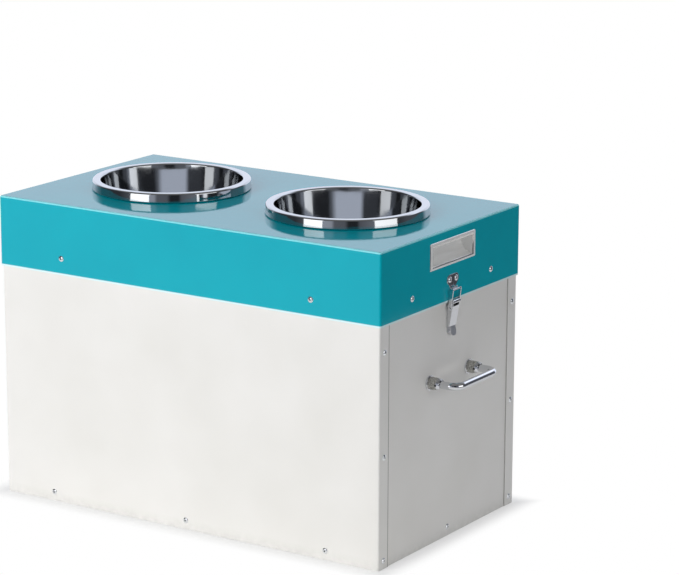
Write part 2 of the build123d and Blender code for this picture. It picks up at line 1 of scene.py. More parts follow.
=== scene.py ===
import bmesh
import bpy
import json
from math import cos, pi, radians, sin, tan
from mathutils import Matrix, Vector


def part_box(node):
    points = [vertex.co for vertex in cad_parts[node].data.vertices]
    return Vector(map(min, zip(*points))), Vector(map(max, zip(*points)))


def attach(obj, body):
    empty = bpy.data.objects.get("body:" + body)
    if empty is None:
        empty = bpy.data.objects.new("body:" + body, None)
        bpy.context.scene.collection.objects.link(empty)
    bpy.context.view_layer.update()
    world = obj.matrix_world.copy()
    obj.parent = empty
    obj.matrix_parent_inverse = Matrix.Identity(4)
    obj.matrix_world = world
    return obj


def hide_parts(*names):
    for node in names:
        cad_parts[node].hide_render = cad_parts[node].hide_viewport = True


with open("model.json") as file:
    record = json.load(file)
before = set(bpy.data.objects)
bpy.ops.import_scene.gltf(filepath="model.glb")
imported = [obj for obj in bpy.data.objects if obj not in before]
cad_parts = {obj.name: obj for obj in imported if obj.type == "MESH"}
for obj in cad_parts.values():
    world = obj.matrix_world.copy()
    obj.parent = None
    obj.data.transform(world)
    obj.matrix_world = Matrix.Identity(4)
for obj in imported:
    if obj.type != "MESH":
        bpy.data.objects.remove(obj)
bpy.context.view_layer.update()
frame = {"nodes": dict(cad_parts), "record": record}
nodes = frame["nodes"]
bodyOf = {node: body for body, group in frame["record"]["behaviour"]["bodies"].items() for node in group}
mm = 0.001
mergeReach = 0.001 * mm  # points nearer to each other than this are one
ends = {"right": 1, "left": -1}
scene = bpy.context.scene
print("frame loaded,", len(nodes), "nodes")


def linear(hexCode):  # sRGB hex to the linear colour that a node takes
    parts = [int(hexCode[i:i + 2], 16) / 255 for i in (1, 3, 5)]
    return [c / 12.92 if c <= 0.04045 else ((c + 0.055) / 1.055) ** 2.4 for c in parts] + [1.0]


def addNode(tree, kind, inputs=None, **settings):
    node = tree.nodes.new("ShaderNode" + kind)
    for key, value in settings.items():
        setattr(node, key, value)
    for key, value in (inputs or {}).items():
        if isinstance(value, bpy.types.NodeSocket):
            tree.links.new(value, node.inputs[key])
        else:
            node.inputs[key].default_value = value
    return node


def startMaterial(name):  # an empty material, its tree and the piece's own coordinates
    material = bpy.data.materials.new(name)
    material.use_nodes = True
    tree = material.node_tree
    tree.nodes.clear()
    return material, tree, addNode(tree, "TexCoord").outputs["Object"]


def finishMaterial(material, inputs):  # the surface itself, last
    tree = material.node_tree
    shader = addNode(tree, "BsdfPrincipled", inputs)
    addNode(tree, "OutputMaterial", {"Surface": shader.outputs["BSDF"]})
    return material


cloudLow, cloudHigh = 0.3, 0.7  # nearly all of a Noise Texture's values lie between these


def grain(tree, place, size, low=0.0, high=1.0, detail=2.0, stretch=(1, 1, 1)):  # blotches of a size in mm
    along = addNode(tree, "Mapping", {"Vector": place, "Scale": stretch}).outputs["Vector"]
    cloud = addNode(tree, "TexNoise", {"Vector": along, "Scale": 1 / (size * mm), "Detail": detail})
    return addNode(tree, "MapRange", {"Value": cloud.outputs["Fac"], "From Min": cloudLow, "From Max": cloudHigh,
                                      "To Min": low, "To Max": high}).outputs["Result"]


def pastRectangle(tree, spot, halves):  # how far a point lies outside a centred rectangle, from its X and Y
    past = []
    for axis, half in zip("XY", halves):
        width = addNode(tree, "Math", {0: spot.outputs[axis]}, operation="ABSOLUTE").outputs[0]
        past.append(addNode(tree, "Math", {0: width, 1: half}, operation="SUBTRACT").outputs[0])
    return addNode(tree, "Math", {0: past[0], 1: past[1]}, operation="MAXIMUM").outputs[0]


# Gloss polyester powder coat on steel: sprayed dry and baked, so it flows to a hard gloss with a faint orange
# peel, over sheet that is never quite flat. A pale painted highlight runs along the top folds and along the sheared
# lower edge. The fold's heights are shares of its radius, where the painted highlight starts, is full, fades and
# stops.
tealCoat = {"colour": "#00AEBE", "shade": "#00A9BA", "blotch": 90.0, "edgeHighlightColour": "#E2FBFC", "edgeHighlightHeight": 2.6,
            "edgeHighlightFade": 0.7, "foldHighlightColour": "#9AF2F8", "foldHighlightShare": 0.90, "foldRadius": 3.0,
            "foldHighlightRise": (0.18, 0.42, 0.90, 0.985), "gloss": 0.045, "dull": 0.085, "smear": 35.0,
            "peelSize": 5.0, "peelDepth": 0.006, "waveSize": 170.0, "waveDepth": 0.22, "ior": 1.45}


def glossPowderCoat(low, high):  # from the lid's corners
    material, tree, place = startMaterial("glossPowderCoatTeal")
    spot = addNode(tree, "SeparateXYZ", {"Vector": place})
    height = spot.outputs["Z"]
    body = addNode(tree, "Mix", {"Factor": grain(tree, place, tealCoat["blotch"]), "A": linear(tealCoat["colour"]),
                                 "B": linear(tealCoat["shade"])}, data_type="RGBA")
    # painted highlight: a pale line along the lid's sheared lower edge
    lowerEdgeHighlight = addNode(tree, "MapRange", {"Value": height,
                                      "From Min": low.z + tealCoat["edgeHighlightFade"] * tealCoat["edgeHighlightHeight"] * mm,
                                      "From Max": low.z + tealCoat["edgeHighlightHeight"] * mm,
                                      "To Min": 1.0, "To Max": 0.0}).outputs["Result"]
    # painted highlight: a pale line over the rounded top folds, only near the lid's outer walls
    radius = tealCoat["foldRadius"] * mm
    rise = addNode(tree, "MapRange", {"Value": height, "From Min": high.z - radius, "From Max": high.z})
    start, full, fade, stop = tealCoat["foldHighlightRise"]
    rising = addNode(tree, "MapRange", {"Value": rise.outputs["Result"], "From Min": start, "From Max": full,
                                        "To Max": tealCoat["foldHighlightShare"]}).outputs["Result"]
    falling = addNode(tree, "MapRange", {"Value": rise.outputs["Result"], "From Min": fade, "From Max": stop,
                                         "To Min": 1.0, "To Max": 0.0}).outputs["Result"]
    rounded = addNode(tree, "Math", {0: rising, 1: falling}, operation="MULTIPLY").outputs[0]
    past = pastRectangle(tree, spot, (high.x - radius, high.y - radius))
    rim = addNode(tree, "Math", {0: past, 1: 0.0}, operation="GREATER_THAN").outputs[0]
    fold = addNode(tree, "Math", {0: rounded, 1: rim}, operation="MULTIPLY").outputs[0]
    foldHighlighted = addNode(tree, "Mix", {"Factor": fold, "A": body.outputs[2], "B": linear(tealCoat["foldHighlightColour"])},
                     data_type="RGBA")
    edgeHighlighted = addNode(tree, "Mix", {"Factor": lowerEdgeHighlight, "A": foldHighlighted.outputs[2], "B": linear(tealCoat["edgeHighlightColour"])},
                    data_type="RGBA")
    waves = addNode(tree, "Bump", {"Height": grain(tree, place, tealCoat["waveSize"], detail=0.0),
                                   "Distance": tealCoat["waveDepth"] * mm})
    peel = addNode(tree, "Bump", {"Height": grain(tree, place, tealCoat["peelSize"], detail=1.0),
                                  "Distance": tealCoat["peelDepth"] * mm, "Normal": waves.outputs["Normal"]})
    smears = grain(tree, place, tealCoat["smear"], tealCoat["gloss"], tealCoat["dull"])
    return finishMaterial(material, {"Base Color": edgeHighlighted.outputs[2], "Normal": peel.outputs["Normal"],
                                     "Roughness": smears, "IOR": tealCoat["ior"]})


# Satin polyester powder coat in white: the same baked powder with a finer flow, which keeps a close, slightly
# sandy texture, real grains about 0.5 mm, drawn at 1.6 mm so that they show. Dust stays a little at the foot. A
# painted shade line runs along the cut edges of the corner strips, where they step onto the end panels, within 2 mm
# of the front ones and half a millimetre of the back ones.
whiteCoat = {"colour": "#EEECE8", "shade": "#E8E6E1", "blotch": 120.0, "footColour": "#D9D8D3", "footHeight": 14.0,
             "dust": 9.0, "dustShare": 0.8, "frontSeamShade": (1.8, "#8A8781"), "backSeamShade": (0.4, "#C6C4C0"),
             "seamShadeCore": 0.4, "smooth": 0.40, "rough": 0.52, "patch": 45.0, "grainSize": 1.6, "grainDepth": 0.02,
             "waveSize": 190.0, "waveDepth": 0.25}


def satinPowderCoat(seamShadeLines):
    material, tree, place = startMaterial("satinPowderCoatWhite")
    spot = addNode(tree, "SeparateXYZ", {"Vector": place})
    body = addNode(tree, "Mix", {"Factor": grain(tree, place, whiteCoat["blotch"]),
                                 "A": linear(whiteCoat["colour"]), "B": linear(whiteCoat["shade"])},
                   data_type="RGBA")
    nearFloor = addNode(tree, "MapRange", {"Value": spot.outputs["Z"], "From Min": 0.0,
                                           "From Max": whiteCoat["footHeight"] * mm,
                                           "To Min": 1.0, "To Max": 0.0}).outputs["Result"]
    settled = grain(tree, place, whiteCoat["dust"], 0.0, whiteCoat["dustShare"], detail=4.0)
    dust = addNode(tree, "Math", {0: nearFloor, 1: settled}, operation="MULTIPLY").outputs["Value"]
    tone = addNode(tree, "Mix", {"Factor": dust, "A": body.outputs[2], "B": linear(whiteCoat["footColour"])},
                   data_type="RGBA").outputs[2]
    # painted shade lines along the corner strips' cut edges, where they step onto the end panels
    for seam, (width, colour) in seamShadeLines:
        apart = addNode(tree, "Math", {0: spot.outputs["Y"], 1: seam}, operation="SUBTRACT").outputs[0]
        apart = addNode(tree, "Math", {0: apart}, operation="ABSOLUTE").outputs[0]
        line = addNode(tree, "MapRange", {"Value": apart, "From Min": whiteCoat["seamShadeCore"] * width * mm,
                                          "From Max": width * mm, "To Min": 1.0, "To Max": 0.0})
        tone = addNode(tree, "Mix", {"Factor": line.outputs["Result"], "A": tone,
                                     "B": linear(colour)}, data_type="RGBA").outputs[2]
    waves = addNode(tree, "Bump", {"Height": grain(tree, place, whiteCoat["waveSize"], detail=0.0),
                                   "Distance": whiteCoat["waveDepth"] * mm})
    sand = addNode(tree, "Bump", {"Height": grain(tree, place, whiteCoat["grainSize"]),
                                  "Distance": whiteCoat["grainDepth"] * mm, "Normal": waves.outputs["Normal"]})
    patches = grain(tree, place, whiteCoat["patch"], whiteCoat["smooth"], whiteCoat["rough"])
    return finishMaterial(material, {"Base Color": tone, "Normal": sand.outputs["Normal"], "Roughness": patches})


# Deep-drawn stainless steel, mirror polished on the rim and wall. The floor keeps the fine turning rings that the
# spinning mandrel leaves, real ones about 1 mm apart, drawn at 3.2 mm so that they show.
bowlSteel = {"colour": "#C2C4C6", "polish": 0.03, "smudged": 0.09, "smudge": 30.0, "ringPitch": 3.2,
             "ringDepth": 0.05, "ringTop": 9.0, "ringWander": 0.6, "wanderScale": 0.4, "buff": 14.0,
             "buffDepth": 0.012}
waveRepeat = 0.314  # metres from ring to ring of a Wave Texture whose scale is 1


def mirrorSteel(name, centre, floorHeight):
    material, tree, place = startMaterial(name)
    own = addNode(tree, "Mapping", {"Vector": place, "Location": (-centre, 0, -floorHeight)}).outputs["Vector"]
    height = addNode(tree, "SeparateXYZ", {"Vector": own}).outputs["Z"]
    rings = addNode(tree, "TexWave", {"Vector": own, "Scale": waveRepeat / (bowlSteel["ringPitch"] * mm),
                                      "Distortion": bowlSteel["ringWander"], "Detail": 1.0,
                                      "Detail Scale": bowlSteel["wanderScale"]},
                    wave_type="RINGS", rings_direction="Z").outputs["Fac"]
    low = addNode(tree, "MapRange", {"Value": height, "From Min": 0.0, "From Max": bowlSteel["ringTop"] * mm,
                                     "To Min": 1.0, "To Max": 0.0}).outputs["Result"]
    turned = addNode(tree, "Math", {0: rings, 1: low}, operation="MULTIPLY").outputs["Value"]
    buffing = addNode(tree, "Bump", {"Height": grain(tree, place, bowlSteel["buff"], detail=1.0),
                                     "Distance": bowlSteel["buffDepth"] * mm})
    marks = addNode(tree, "Bump", {"Height": turned, "Distance": bowlSteel["ringDepth"] * mm,
                                   "Normal": buffing.outputs["Normal"]})
    smudges = grain(tree, place, bowlSteel["smudge"], bowlSteel["polish"], bowlSteel["smudged"], detail=4.0)
    return finishMaterial(material, {"Base Color": linear(bowlSteel["colour"]), "Metallic": 1.0,
                                     "Normal": marks.outputs["Normal"], "Roughness": smudges})


# Bright chrome plate over polished steel: a hard blue-white mirror with hairline wiping scratches up and down the
# part, real ones about 0.1 mm apart, drawn at 1.2 mm so that they show. They break the gloss only a little.
chrome = {"colour": "#DCDDE0", "polish": 0.05, "worn": 0.13, "rubbed": 0.36, "dull": 0.5, "patch": 11.0,
          "scratch": 1.2, "scratchStretch": 0.12, "scratchDepth": 0.003}


def chromePlate(name, smooth, rough):
    material, tree, place = startMaterial(name)
    hairs = grain(tree, place, chrome["scratch"], detail=3.0, stretch=(1, 1, chrome["scratchStretch"]))
    scratches = addNode(tree, "Bump", {"Height": hairs, "Distance": chrome["scratchDepth"] * mm})
    patches = grain(tree, place, chrome["patch"], smooth, rough, detail=3.0)
    return finishMaterial(material, {"Base Color": linear(chrome["colour"]), "Metallic": 1.0,
                                     "Normal": scratches.outputs["Normal"], "Roughness": patches})


# Satin chrome on the barrels of the handle's posts: tumbled before plating, so it is grey and faintly mottled.
satinChrome = {"colour": "#DEDDD9", "shade": "#7E7D76", "smooth": 0.26, "rough": 0.42, "patch": 4.0, "mottle": 1.6,
               "mottleDepth": 0.02}


def tumbledChrome():
    material, tree, place = startMaterial("tumbledChrome")
    mottle = grain(tree, place, satinChrome["mottle"], detail=3.0)
    tone = addNode(tree, "Mix", {"Factor": mottle, "A": linear(satinChrome["colour"]),
                                 "B": linear(satinChrome["shade"])}, data_type="RGBA")
    dents = addNode(tree, "Bump", {"Height": mottle, "Distance": satinChrome["mottleDepth"] * mm})
    patches = grain(tree, place, satinChrome["patch"], satinChrome["smooth"], satinChrome["rough"])
    return finishMaterial(material, {"Base Color": tone.outputs[2], "Metallic": 1.0,
                                     "Normal": dents.outputs["Normal"], "Roughness": patches})


# Black oxide on the cross pins of the handle: a thin dark skin on ground steel, oily and slightly uneven.
blackOxide = {"colour": "#16171A", "worn": "#34363A", "mottle": 1.2, "smooth": 0.30, "rough": 0.48, "patch": 0.9,
              "metal": 0.6}


def oxidisedSteel():
    material, tree, place = startMaterial("oxidisedSteel")
    mottle = grain(tree, place, blackOxide["mottle"], detail=3.0)
    tone = addNode(tree, "Mix", {"Factor": mottle, "A": linear(blackOxide["colour"]),
                                 "B": linear(blackOxide["worn"])}, data_type="RGBA")
    patches = grain(tree, place, blackOxide["patch"], blackOxide["smooth"], blackOxide["rough"])
    return finishMaterial(material, {"Base Color": tone.outputs[2], "Metallic": blackOxide["metal"],
                                     "Roughness": patches})


# Satin nickel plate on pressed steel under a clear matt lacquer: brushed along its length and milky, so part of
# the light is scattered, with fine lines about 0.2 mm apart, drawn at 0.8 mm so that they show.
nickel = {"colour": "#FAFAF8", "shade": "#F1F0ED", "smooth": 0.34, "rough": 0.46, "patch": 18.0, "line": 0.8,
          "lineStretch": 0.03, "lineDepth": 0.006, "metal": 0.15}


def satinNickel():
    material, tree, place = startMaterial("satinNickel")
    lines = grain(tree, place, nickel["line"], detail=3.0, stretch=(1, nickel["lineStretch"], 1))
    tone = addNode(tree, "Mix", {"Factor": lines, "A": linear(nickel["colour"]), "B": linear(nickel["shade"])},
                   data_type="RGBA")
    brushing = addNode(tree, "Bump", {"Height": lines, "Distance": nickel["lineDepth"] * mm})
    patches = grain(tree, place, nickel["patch"], nickel["smooth"], nickel["rough"])
    return finishMaterial(material, {"Base Color": tone.outputs[2], "Metallic": nickel["metal"],
                                     "Normal": brushing.outputs["Normal"], "Roughness": patches})


# Bright nickel plate on the pull's steep outer edge and on the lip round its cup: polished, slightly warm, with a
# soft buffed gloss.
brightNickel = {"colour": "#EBE8E4", "polish": 0.13, "worn": 0.22, "patch": 9.0, "buff": 3.0, "buffDepth": 0.006}


def polishedNickel():
    material, tree, place = startMaterial("polishedNickel")
    patches = grain(tree, place, brightNickel["patch"], brightNickel["polish"], brightNickel["worn"], detail=3.0)
    buffing = addNode(tree, "Bump", {"Height": grain(tree, place, brightNickel["buff"]),
                                     "Distance": brightNickel["buffDepth"] * mm})
    return finishMaterial(material, {"Base Color": linear(brightNickel["colour"]), "Metallic": 1.0,
                                     "Normal": buffing.outputs["Normal"], "Roughness": patches})


# Drawn aluminium of the blind rivets: bright, soft and slightly dented by the setting tool.
rivetAluminium = {"colour": "#EDEFF1", "smooth": 0.16, "rough": 0.34, "patch": 3.0, "dent": 2.2, "dentDepth": 0.03}


def brightAluminium():
    material, tree, place = startMaterial("brightAluminium")
    dents = addNode(tree, "Bump", {"Height": grain(tree, place, rivetAluminium["dent"]),
                                   "Distance": rivetAluminium["dentDepth"] * mm})
    patches = grain(tree, place, rivetAluminium["patch"], rivetAluminium["smooth"], rivetAluminium["rough"])
    return finishMaterial(material, {"Base Color": linear(rivetAluminium["colour"]), "Metallic": 1.0,
                                     "Normal": dents.outputs["Normal"], "Roughness": patches})


# Zinc-plated steel of the hidden fasteners: grey with a faint straw bloom in blotches.
zinc = {"colour": "#B4B6B4", "bloomColour": "#BDB79F", "bloom": 4.0, "smooth": 0.28, "rough": 0.46, "patch": 2.5,
        "dent": 1.5, "dentDepth": 0.01}


def zincPlate():
    material, tree, place = startMaterial("zincPlate")
    bloom = grain(tree, place, zinc["bloom"], detail=3.0)
    tone = addNode(tree, "Mix", {"Factor": bloom, "A": linear(zinc["colour"]), "B": linear(zinc["bloomColour"])},
                   data_type="RGBA")
    patches = grain(tree, place, zinc["patch"], zinc["smooth"], zinc["rough"])
    dents = addNode(tree, "Bump", {"Height": grain(tree, place, zinc["dent"]), "Distance": zinc["dentDepth"] * mm})
    return finishMaterial(material, {"Base Color": tone.outputs[2], "Metallic": 1.0,
                                     "Normal": dents.outputs["Normal"], "Roughness": patches})


# Mandrel ends left in the rivets: snapped mild steel, dark and rough.
mandrel = {"colour": "#77797C", "smooth": 0.4, "rough": 0.62, "patch": 0.8, "tear": 0.5, "tearDepth": 0.08}


def snappedSteel():
    material, tree, place = startMaterial("snappedSteel")
    torn = addNode(tree, "Bump", {"Height": grain(tree, place, mandrel["tear"], detail=3.0),
                                  "Distance": mandrel["tearDepth"] * mm})
    patches = grain(tree, place, mandrel["patch"], mandrel["smooth"], mandrel["rough"])
    return finishMaterial(material, {"Base Color": linear(mandrel["colour"]), "Metallic": 1.0,
                                     "Normal": torn.outputs["Normal"], "Roughness": patches})


# Closed-cell neoprene foam of the lid's seal: matt black with a skin of tiny cells.
foam = {"colour": "#1B1C1D", "light": "#2C2D2E", "blotch": 6.0, "cell": 0.9, "cellDepth": 0.12, "rough": 0.92}


def neopreneFoam():
    material, tree, place = startMaterial("neopreneFoam")
    cells = addNode(tree, "TexVoronoi", {"Vector": place, "Scale": 1 / (foam["cell"] * mm)}).outputs["Distance"]
    tone = addNode(tree, "Mix", {"Factor": grain(tree, place, foam["blotch"]), "A": linear(foam["colour"]),
                                 "B": linear(foam["light"])}, data_type="RGBA")
    skin = addNode(tree, "Bump", {"Height": cells, "Distance": foam["cellDepth"] * mm})
    return finishMaterial(material, {"Base Color": tone.outputs[2], "Normal": skin.outputs["Normal"],
                                     "Roughness": foam["rough"]})


bowlFloor = {name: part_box(name)[0].z for name in ("water_bowl", "food_bowl")}
bowlCentre = {name: (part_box(name)[0].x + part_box(name)[1].x) / 2 for name in bowlFloor}
teal = glossPowderCoat(*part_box("lid_shell"))
# the corner strips' cut edges, which get painted shade lines
white = satinPowderCoat([(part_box("front_panel")[1].y, whiteCoat["frontSeamShade"]),
                         (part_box("back_panel")[0].y, whiteCoat["backSeamShade"])])
plated = chromePlate("chromePlate", chrome["polish"], chrome["worn"])
rubbedChrome = chromePlate("rubbedChrome", chrome["rubbed"], chrome["dull"])  # where fingers have dulled it
barrelChrome = tumbledChrome()
blackSteel = oxidisedSteel()
satin = satinNickel()
rolledNickel = polishedNickel()
aluminium = brightAluminium()
zincSteel = zincPlate()
mandrelSteel = snappedSteel()
sealFoam = neopreneFoam()
bowlFinish = {name: mirrorSteel(f"mirrorSteel_{name}", bowlCentre[name], bowlFloor[name]) for name in bowlFloor}
print("materials made,", len(bpy.data.materials))


def linkMesh(name, bm):  # a new object in the scene, from a bmesh
    mesh = bpy.data.meshes.new(name)
    bm.to_mesh(mesh)
    bm.free()
    made = bpy.data.objects.new(name, mesh)
    scene.collection.objects.link(made)
    return made


def startPiece(name, bm, materials, body, replaced, sharp=38):
    bmesh.ops.recalc_face_normals(bm, faces=bm.faces)
    piece = linkMesh(name, bm)
    piece.data.shade_smooth()
    piece.data.set_sharp_from_angle(angle=radians(sharp))
    for material in materials:
        piece.data.materials.append(material)
    piece.modifiers.new("flatFaces", "WEIGHTED_NORMAL").keep_sharp = True
    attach(piece, body)
    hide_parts(*replaced)


flatAngle = 0.4  # degrees between triangles that belong to one face


def cadCopy(node):  # the node's loose triangles, merged back into whole faces
    bm = bmesh.new()
    bm.from_mesh(nodes[node].data)
    bmesh.ops.remove_doubles(bm, verts=bm.verts, dist=mergeReach)
    bmesh.ops.dissolve_limit(bm, angle_limit=radians(flatAngle), verts=bm.verts, edges=bm.edges)
    return bm


def softenEdges(bm, width, sharp=40):
    corners = [e for e in bm.edges if e.is_manifold and e.is_convex and e.calc_face_angle() > radians(sharp)]
    bmesh.ops.bevel(bm, geom=corners, offset=width * mm, segments=2, profile=0.5, affect="EDGES", material=-1,
                    clamp_overlap=True)


def finishNode(node, material, width, dull=None, isDull=None):  # a piece with its true edges broken
    bm = cadCopy(node)
    softenEdges(bm, width)
    for face in bm.faces:
        face.material_index = 1 if isDull and isDull(face) else 0
    materials = [material, dull] if isDull else [material]
    startPiece(f"{node}_finished", bm, materials, bodyOf[node], [node])


def extrudeOpen(bm, edges):  # a band of faces from open edges: its new vertices, its faces and its new open edges
    made = bmesh.ops.extrude_edge_only(bm, edges=edges)["geom"]
    return ([g for g in made if isinstance(g, bmesh.types.BMVert)],
            [g for g in made if isinstance(g, bmesh.types.BMFace)],
            [g for g in made if isinstance(g, bmesh.types.BMEdge) and g.is_boundary])


def roundCorner(bm, vert, radius, steps=6):  # rounds one corner of a wire outline
    first, second = [(e.other_vert(vert).co - vert.co).normalized() for e in vert.link_edges]
    reach = radius / tan(first.angle(second) / 2)
    bmesh.ops.bevel(bm, geom=[vert], offset=reach, offset_type="OFFSET", segments=steps, profile=0.5,
                    affect="VERTICES", material=-1, clamp_overlap=False)


def outline(bm, points):  # joined corners (out, up, rounding) in mm, on the XZ plane
    chain = [bm.verts.new((out * mm, 0, up * mm)) for out, up, rounding in points]
    for start, stop in zip(chain, chain[1:]):
        bm.edges.new((start, stop))
    for vert, (out, up, rounding) in zip(chain, points):
        if rounding:
            roundCorner(bm, vert, rounding * mm)


def lathe(points, steps):  # a full turn of the outline about Z
    bm = bmesh.new()
    outline(bm, points)
    bmesh.ops.spin(bm, geom=bm.verts[:] + bm.edges[:], cent=(0, 0, 0), axis=(0, 0, 1), angle=2 * pi, steps=steps,
                   use_merge=True, use_duplicate=False)
    bmesh.ops.remove_doubles(bm, verts=bm.verts, dist=mergeReach)
    return bm


# Storage box and lid: how far each kind of sheet has its cut edges and folds broken
panels = {"edge": 0.35, "lidEdge": 0.3, "panEdge": 0.3, "railEdge": 0.3}

for node in ("front_panel", "back_panel", "left_end_panel", "right_end_panel"):
    finishNode(node, white, panels["edge"])
finishNode("bottom_pan", white, panels["panEdge"])
finishNode("lid_shell", teal, panels["lidEdge"])
for side in ("front", "back", "left", "right"):
    finishNode(f"lid_{side}_rail", teal, panels["railEdge"])
nodes["lid_seal"].data.materials.clear()
nodes["lid_seal"].data.materials.append(sealFoam)
print("storage box and lid finished")


bowl = {"rimRadius": 107.5, "rimWidth": 12.0, "rimHeight": 13.0, "depth": 61.0, "taper": 7.0, "sheet": 1.0,
        "rimRounding": 2.6, "floorRounding": 15.0, "lean": 1.2, "foot": 4.0, "footRounding": 1.6, "footEdge": 0.3,
        "steps": 144}


def spunBowl(name):
    low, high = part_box(name)
    rim, sheet = bowl["rimRadius"], bowl["sheet"]
    throat = rim - bowl["rimWidth"]
    shoulder = rim - bowl["lean"]
    foot = rim - bowl["foot"]
    top = bowl["rimHeight"]
    well = top - bowl["depth"]
    bm = lathe([
        (0, well, 0),
        (throat - bowl["taper"], well, bowl["floorRounding"]),
        (throat, top, bowl["rimRounding"]),
        (shoulder, top, bowl["rimRounding"]),
        (rim, 0, bowl["footRounding"]),
        (foot, 0, bowl["footEdge"]),
        (foot, sheet, bowl["footEdge"]),
        (rim - sheet, sheet, bowl["footRounding"] - sheet),
        (shoulder - sheet, top - sheet, bowl["rimRounding"] - sheet),
        (throat + sheet, top - sheet, bowl["rimRounding"] - sheet),
        (throat - bowl["taper"] + sheet, well - sheet, bowl["floorRounding"] + sheet),
        (0, well - sheet, 0),
    ], bowl["steps"])
    middle = (low + high) / 2
    bmesh.ops.translate(bm, verts=bm.verts, vec=(middle.x, middle.y, high.z - top * mm))
    startPiece(f"{name}_spun", bm, [bowlFinish[name]], name, [name])


for name in bowlFloor:
    spunBowl(name)
print("bowls spun")


# A rivet's head is a dome with a short upright rim and the eye of the hollow body in its middle. The dome's
# shoulder is given as shares of the head's radius and height.
rivet = {"headRadius": 4.0, "smallHead": 3.0, "headHeight": 1.4, "rimHeight": 0.35, "rimRounding": 0.8,
         "shoulderOut": 0.62, "shoulderUp": 0.86, "shoulderRounding": 2.4, "eyeRadius": 1.2, "eyeTaper": 0.1,
         "eyeRounding": 0.12, "eyeDepth": 0.7, "shank": 2.0, "tailRadius": 2.9, "tailHeight": 2.2,
         "tailRounding": 0.4, "tipRounding": 0.8, "steps": 28}
lidLow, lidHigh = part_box("lid_shell")


def islands(node):  # the separate solids in a node, each as its lowest and highest corner
    bm = bmesh.new()
    bm.from_mesh(nodes[node].data)
    bmesh.ops.remove_doubles(bm, verts=bm.verts, dist=mergeReach)
    waiting = set(bm.verts)
    found = []
    while waiting:
        group = [waiting.pop()]
        for vert in group:
            near = [e.other_vert(vert) for e in vert.link_edges]
            fresh = [v for v in near if v in waiting]
            waiting.difference_update(fresh)
            group.extend(fresh)
        low = Vector([min(v.co[i] for v in group) for i in range(3)])
        high = Vector([max(v.co[i] for v in group) for i in range(3)])
        found.append((low, high))
    bm.free()
    return sorted(found, key=lambda corners: tuple(corners[0]))


def oneRivet(headRadius, grip):  # standing on the sheet's face, with its head up
    eye = rivet["eyeRadius"] - rivet["eyeTaper"]
    eyeFloor = rivet["headHeight"] - rivet["eyeDepth"]
    turned = lathe([
        (0, eyeFloor, 0),
        (eye, eyeFloor, 0),
        (rivet["eyeRadius"], rivet["headHeight"], rivet["eyeRounding"]),
        (headRadius * rivet["shoulderOut"], rivet["headHeight"] * rivet["shoulderUp"], rivet["shoulderRounding"]),
        (headRadius, rivet["rimHeight"], rivet["rimRounding"]),
        (headRadius, 0, 0),
        (rivet["shank"], 0, 0),
        (rivet["shank"], -grip, 0),
        (rivet["tailRadius"], -grip, rivet["tailRounding"]),
        (rivet["shank"], -grip - rivet["tailHeight"], rivet["tipRounding"]),
        (0, -grip - rivet["tailHeight"], 0),
    ], rivet["steps"])
    for face in turned.faces:  # the mandrel's broken end shows at the bottom of the eye
        centre = face.calc_center_median()
        face.material_index = 1 if centre.xy.length < eye * mm and centre.z > 0 else 0
    return turned


def blindRivets(node, headRadius):
    bm = bmesh.new()
    for low, high in islands(node):
        middle, size = (low + high) / 2, high - low
        along = 0 if lidHigh.x - abs(middle.x) < lidHigh.y - abs(middle.y) else 1  # out of the nearest wall
        outward = Vector((0, 0, 0))
        outward[along] = 1 if middle[along] > 0 else -1
        turned = oneRivet(headRadius, size[along] / mm - rivet["headHeight"] - rivet["tailHeight"])
        seat = middle + outward * (size[along] / 2 - rivet["headHeight"] * mm)
        turned.transform(Matrix.Translation(seat) @ outward.to_track_quat("Z", "Y").to_matrix().to_4x4())
        mesh = bpy.data.meshes.new("oneRivet")
        turned.to_mesh(mesh)
        turned.free()
        bm.from_mesh(mesh)
        bpy.data.meshes.remove(mesh)
    startPiece(f"{node}_set", bm, [aluminium, mandrelSteel], bodyOf[node], [node])


for node in sorted(nodes):
    if node.endswith("rivets"):
        blindRivets(node, rivet["smallHead"] if "latch_base" in node else rivet["headRadius"])
print("rivets set")


latch = {"edge": 0.34, "linkEdge": 0.4, "tab": 13.5}
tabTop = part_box("right_latch_lever")[0].z + latch["tab"] * mm


def onTab(face):  # the finger tab at the lever's foot
    return face.calc_center_median().z < tabTop


for end in ends:
    finishNode(f"{end}_latch_base", plated, latch["edge"])
    finishNode(f"{end}_latch_lever", plated, latch["edge"], rubbedChrome, onTab)
    finishNode(f"{end}_latch_link", plated, latch["linkEdge"])
    for part in ("keeper", "pivot_pin", "sleeve", "link_pin"):
        finishNode(f"{end}_latch_{part}", plated, latch["edge"])
print("latches finished")


handle = {"rod": 5.0, "bend": 14.0, "sides": 40, "bendSteps": 14, "capSteps": 7, "capTip": 0.0001,
          "capMerge": 0.002, "edge": 0.6, "fixingEdge": 0.2, "barrelStart": 2.4, "barrelStop": 13.4}


